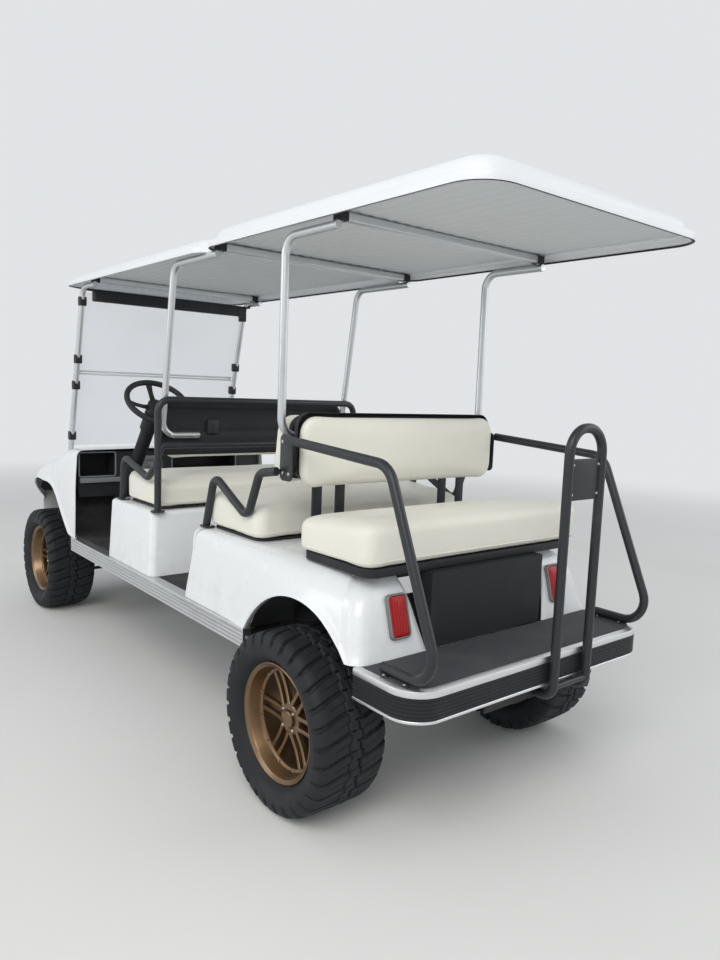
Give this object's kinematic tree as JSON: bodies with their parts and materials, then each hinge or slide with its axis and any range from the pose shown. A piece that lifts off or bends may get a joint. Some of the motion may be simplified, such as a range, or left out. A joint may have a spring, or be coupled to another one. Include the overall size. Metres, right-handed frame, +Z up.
{
  "type": "six-seat golf cart",
  "caption": "Raised open golf cart with forward benches, a rear-facing bench over a footplate, a long roof on bent struts, and steering road wheels.",
  "frame": {"origin": "on the ground, midway between the bumper face and the roof's rear edge, on the cart's centre plane", "axes": "+Z up; the cart faces -Y; +X is its left side"},
  "size_m": [1.318, 3.645, 1.912],
  "materials": {
    "tyre": "matt rubber",
    "wheel_bronze": "satin bronze paint",
    "chassis_black": "satin black",
    "tube_black": "satin powder coat",
    "body_white": "gloss moulded",
    "roof_white": "satin moulded",
    "strut_silver": "brushed anodised",
    "trim_black": "grained moulding",
    "cushion_cream": "smooth vinyl",
    "mat_rubber": "ribbed rubber",
    "windshield_clear": "clear",
    "lamp_clear": "clear cover",
    "lamp_red": "gloss red",
    "battery_case": "moulded case",
    "spring_steel": "satin black"
  },
  "bodies": {
    "cart": {"arch_liners": "trim_black", "arm_rests": "tube_black", "backrest_shells": "trim_black", "battery_pack": "battery_case", "chassis_frame": "chassis_black", "dashboard": "trim_black", "floor": "mat_rubber", "footplate": "trim_black", "footplate_band": "strut_silver", "footplate_mat": "mat_rubber", "front_axle": "chassis_black", "front_backrest": "cushion_cream", "front_bumper": "chassis_black", "front_cowl": "body_white", "front_cushion": "cushion_cream", "grab_bar": "tube_black", "handrails": "tube_black", "headlamps": "lamp_clear", "leaf_springs": "spring_steel", "light_bar": "trim_black", "middle_backrest": "cushion_cream", "middle_cushion": "cushion_cream", "pedals": "trim_black", "rear_axle": "chassis_black", "rear_backrest": "cushion_cream", "rear_body": "body_white", "rear_cushion": "cushion_cream", "rear_panel": "trim_black", "rocker_panels": "strut_silver", "roof": "roof_white", "roof_cross_bars": "strut_silver", "seat_frames": "tube_black", "seat_pod": "body_white", "seat_trays": "trim_black", "steering_column": "trim_black", "struts": "strut_silver", "tail_lamps": "lamp_red", "windshield": "windshield_clear", "windshield_frame": "strut_silver"},
    "knuckle_left": {"knuckle_left": "chassis_black"},
    "knuckle_right": {"knuckle_right": "chassis_black"},
    "tie_rod": {"tie_rod": "chassis_black"},
    "steering_wheel": {"steering_wheel": "trim_black"},
    "wheel_front_left": {"tyre_front_left": "tyre", "rim_front_left": "wheel_bronze"},
    "wheel_front_right": {"tyre_front_right": "tyre", "rim_front_right": "wheel_bronze"},
    "wheel_rear_left": {"tyre_rear_left": "tyre", "rim_rear_left": "wheel_bronze"},
    "wheel_rear_right": {"tyre_rear_right": "tyre", "rim_rear_right": "wheel_bronze"}
  },
  "joints": [
    {"name": "steer_left", "type": "hinge", "parent": "cart", "child": "knuckle_left", "pos_m": [0.43, -1.4325, 0.288], "axis": [0, 0, 1], "range_deg": [-30, 30]},
    {"name": "steer_right", "type": "hinge", "parent": "cart", "child": "knuckle_right", "pos_m": [-0.43, -1.4325, 0.288], "axis": [0, 0, 1], "range_deg": [-30, 30]},
    {"name": "tie_rod_pivot", "type": "hinge", "parent": "knuckle_left", "child": "tie_rod", "pos_m": [0.43, -1.3325, 0.217], "axis": [0, 0, 1], "range_deg": [-30, 30]},
    {"name": "steering_wheel_turn", "type": "hinge", "parent": "cart", "child": "steering_wheel", "pos_m": [0.285, -0.5025, 1.232], "axis": [0, 0.6293, 0.7771], "range_deg": [-450, 450]},
    {"name": "wheel_front_left_spin", "type": "hinge", "parent": "knuckle_left", "child": "wheel_front_left", "pos_m": [0.491, -1.4325, 0.288], "axis": [1, 0, 0], "continuous": true},
    {"name": "wheel_front_right_spin", "type": "hinge", "parent": "knuckle_right", "child": "wheel_front_right", "pos_m": [-0.491, -1.4325, 0.288], "axis": [1, 0, 0], "continuous": true},
    {"name": "wheel_rear_left_spin", "type": "hinge", "parent": "cart", "child": "wheel_rear_left", "pos_m": [0.533, 1.1675, 0.288], "axis": [1, 0, 0], "continuous": true},
    {"name": "wheel_rear_right_spin", "type": "hinge", "parent": "cart", "child": "wheel_rear_right", "pos_m": [-0.533, 1.1675, 0.288], "axis": [1, 0, 0], "continuous": true}
  ],
  "couplings": [
    {"joint": "steer_right", "follows": "steer_left", "ratio": 1},
    {"joint": "steering_wheel_turn", "follows": "steer_left", "ratio": 15},
    {"joint": "tie_rod_pivot", "follows": "steer_left", "ratio": -1}
  ]
}
